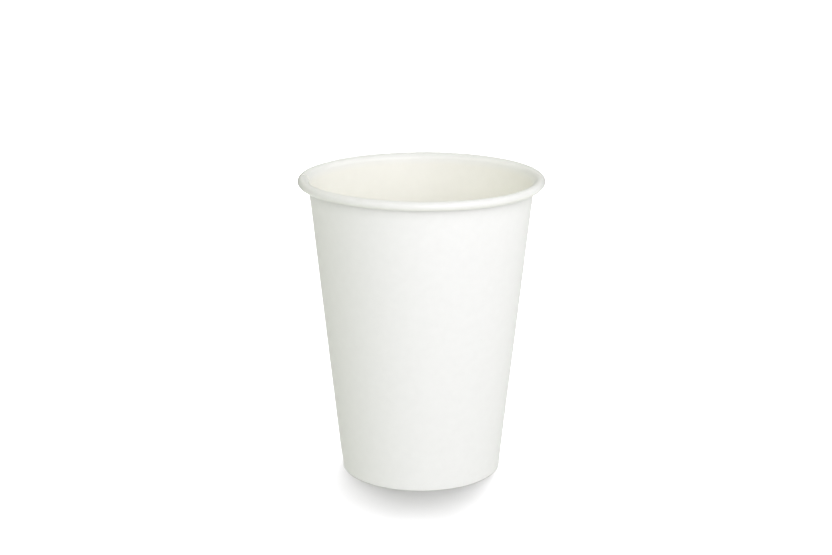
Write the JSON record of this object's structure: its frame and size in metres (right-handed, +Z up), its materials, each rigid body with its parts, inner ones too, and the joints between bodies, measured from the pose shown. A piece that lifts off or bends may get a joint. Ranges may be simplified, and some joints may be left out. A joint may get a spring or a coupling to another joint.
{
  "type": "paper cup",
  "caption": "Tapered single-wall paper drinking cup with a rolled rim, a lapped side seam and a flat bottom recessed in a folded foot; no lid.",
  "frame": {"origin": "middle of the foot, on the surface the cup stands on", "axes": "+Z up along the cup's axis, from the foot to the mouth; the side seam is at the left, 262 degrees from -Y round by +X"},
  "size_m": [0.09, 0.09, 0.1115],
  "materials": {
    "wall_board": "matte white board, coated inside",
    "bottom_board": "satin coated white board"
  },
  "bodies": {
    "root": {"sidewall": "wall_board", "bottom_disc": "bottom_board"}
  },
  "joints": []
}
